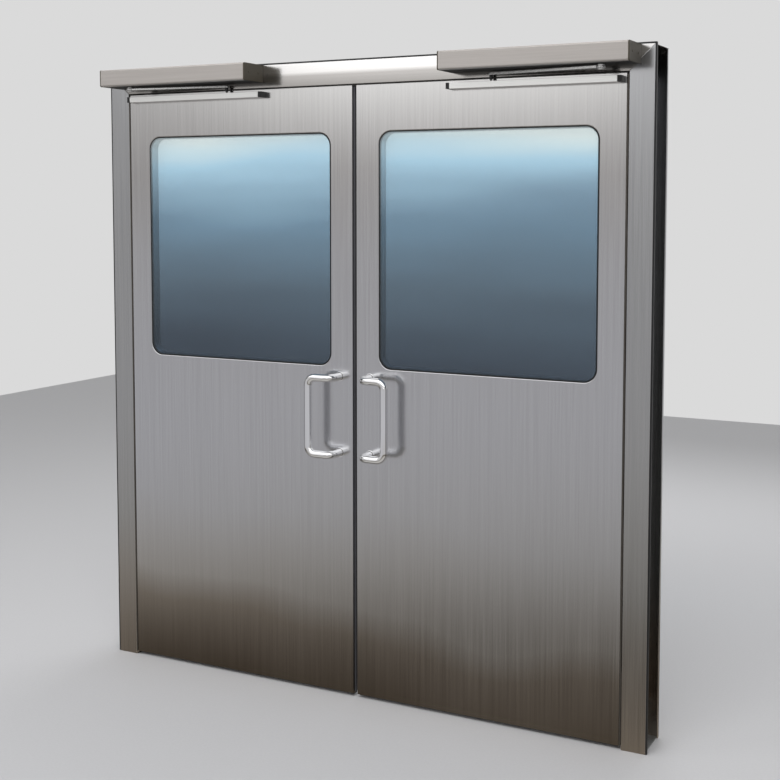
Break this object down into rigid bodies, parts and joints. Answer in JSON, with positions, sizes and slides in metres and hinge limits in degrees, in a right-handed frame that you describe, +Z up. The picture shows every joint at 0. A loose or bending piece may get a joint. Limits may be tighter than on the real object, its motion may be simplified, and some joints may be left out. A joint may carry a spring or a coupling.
{
  "type": "double door with frame and operators",
  "caption": "Stainless steel double swing doors in a wrap-round frame, each leaf with a flush round-cornered window, an offset pull handle and an overhead door operator with a track arm.",
  "frame": {"origin": "underside of the left floor anchor, midway between its two bolt holes", "axes": "+X to the right along the wall, +Y into the wall, +Z up from the floor; the pull side faces -Y"},
  "size_m": [1.991, 0.261, 2.113],
  "materials": {
    "leaf_steel": "vertical satin grain",
    "frame_steel": "satin grain along each member",
    "liner_steel": "satin",
    "polished_steel": "polished",
    "bolt_steel": "satin",
    "hinge_steel": "dark satin",
    "anchor_steel": "zinc coated",
    "arm_steel": "satin",
    "spindle_steel": "polished",
    "track_aluminium": "clear anodised",
    "cover_aluminium": "satin anodised",
    "end_cap_paint": "dark bronze satin",
    "operator_base_paint": "black satin",
    "glass": "clear float with a blue-grey cast",
    "glazing_rubber": "matt black",
    "seal_rubber": "matt dark grey",
    "bead_sealant": "matt black",
    "sweep_brush": "dense black brush",
    "black_plastic": "moulded black",
    "roller_plastic": "moulded black"
  },
  "bodies": {
    "frame": {"left_jamb": "frame_steel", "right_jamb": "frame_steel", "header": "frame_steel", "wall_bead": "bead_sealant", "stop_seal": "seal_rubber", "left_floor_anchor": "anchor_steel", "right_floor_anchor": "anchor_steel", "left_hinge_frame_plate": "hinge_steel", "right_hinge_frame_plate": "hinge_steel", "left_operator_base": "operator_base_paint", "right_operator_base": "operator_base_paint", "left_operator_cover": "cover_aluminium", "right_operator_cover": "cover_aluminium", "left_operator_end_caps": "end_cap_paint", "right_operator_end_caps": "end_cap_paint"},
    "left_leaf": {"left_leaf_panel": "leaf_steel", "left_window_liner": "liner_steel", "left_window_gaskets": "glazing_rubber", "left_front_pane": "glass", "left_rear_pane": "glass", "left_pull_handle": "polished_steel", "left_handle_bolts": "bolt_steel", "left_hinge_leaf_plate": "hinge_steel", "left_meeting_seal": "seal_rubber", "left_bottom_sweep": "sweep_brush", "left_track": "track_aluminium", "left_track_end_caps": "black_plastic"},
    "left_arm": {"left_arm": "arm_steel", "left_arm_spindle": "spindle_steel", "left_arm_roller": "roller_plastic"},
    "right_leaf": {"right_leaf_panel": "leaf_steel", "right_window_liner": "liner_steel", "right_window_gaskets": "glazing_rubber", "right_front_pane": "glass", "right_rear_pane": "glass", "right_pull_handle": "polished_steel", "right_handle_bolts": "bolt_steel", "right_hinge_leaf_plate": "hinge_steel", "right_meeting_seal": "seal_rubber", "right_bottom_sweep": "sweep_brush", "right_track": "track_aluminium", "right_track_end_caps": "black_plastic"},
    "right_arm": {"right_arm": "arm_steel", "right_arm_spindle": "spindle_steel", "right_arm_roller": "roller_plastic"}
  },
  "joints": [
    {"name": "left_leaf_swing", "type": "hinge", "parent": "frame", "child": "left_leaf", "pos_m": [0.0405, -0.0735, 1.0195], "axis": [0, 0, -1], "range_deg": [0, 90], "stiffness_Nm_per_rad": 12, "springref_deg": -28.65},
    {"name": "left_arm_swing", "type": "hinge", "parent": "frame", "child": "left_arm", "pos_m": [0.1005, -0.1435, 2.05], "axis": [0, 0, -1], "range_deg": [0, 110]},
    {"name": "right_leaf_swing", "type": "hinge", "parent": "frame", "child": "right_leaf", "pos_m": [1.8625, -0.0735, 1.0195], "axis": [0, 0, 1], "range_deg": [0, 90], "stiffness_Nm_per_rad": 12, "springref_deg": -28.65},
    {"name": "right_arm_swing", "type": "hinge", "parent": "frame", "child": "right_arm", "pos_m": [1.8025, -0.1435, 2.05], "axis": [0, 0, 1], "range_deg": [0, 110]}
  ],
  "couplings": [
    {"joint": "left_arm_swing", "follows": "left_leaf_swing", "ratio": 1.221},
    {"joint": "right_arm_swing", "follows": "right_leaf_swing", "ratio": 1.221}
  ]
}
